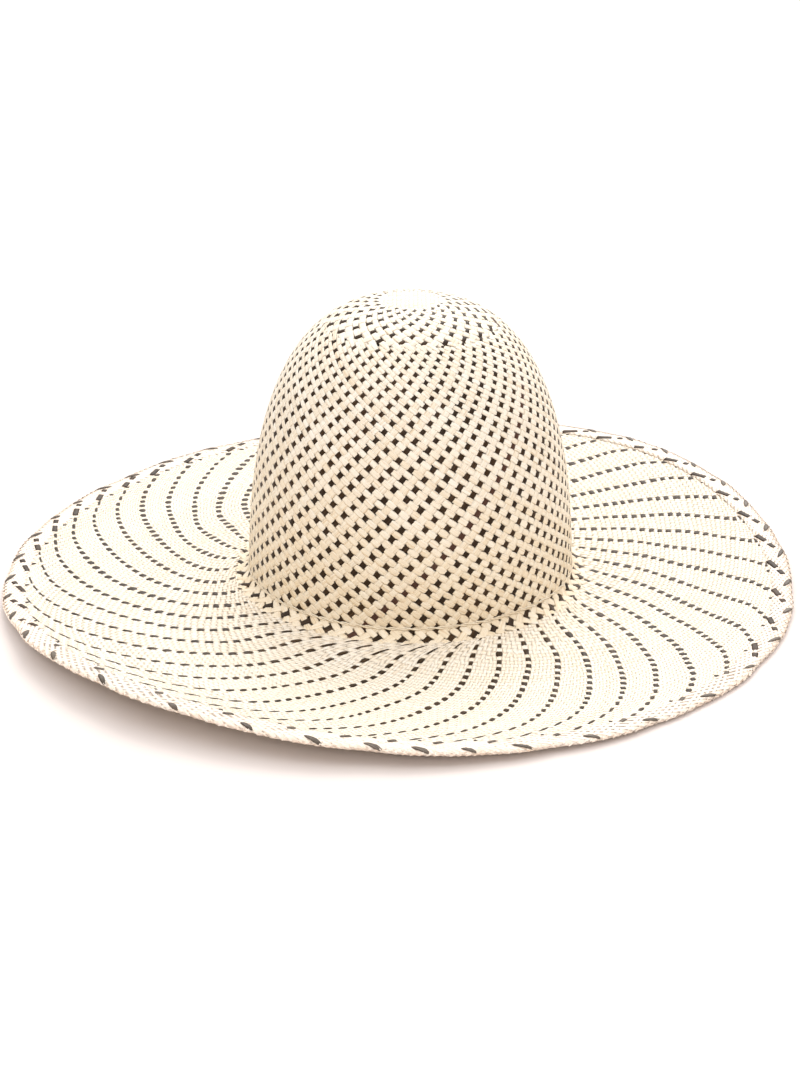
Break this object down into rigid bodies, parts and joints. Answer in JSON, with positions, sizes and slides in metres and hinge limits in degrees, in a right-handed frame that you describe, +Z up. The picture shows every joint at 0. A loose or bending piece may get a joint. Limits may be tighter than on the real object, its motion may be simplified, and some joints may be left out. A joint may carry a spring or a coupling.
{
  "type": "woven sun hat",
  "caption": "Wide-brimmed woven straw sun hat with a tall round crown, a gently waved brim and a turned-back braided edge, lying brim down.",
  "frame": {"origin": "under the centre of the brim, on the surface the hat rests on", "axes": "+Z up out of the crown, +X to the wearer's left as seen from the front, -Y towards the front"},
  "size_m": [0.45, 0.45, 0.1643],
  "materials": {
    "crown_weave": "diagonal plain weave of cream straw with every second strand of one direction near-black, warmer towards the brim",
    "brim_weave": "fine cream straw weave with near-black strands surfacing as dashed spiral lines",
    "edge_weave": "turned-back braided border of cream straw crossed by short near-black strands",
    "dark_straw": "dyed near-black straw with a soft sheen"
  },
  "bodies": {
    "root": {"crown": "crown_weave", "brim": "brim_weave", "brim_edge": "edge_weave"}
  },
  "joints": []
}
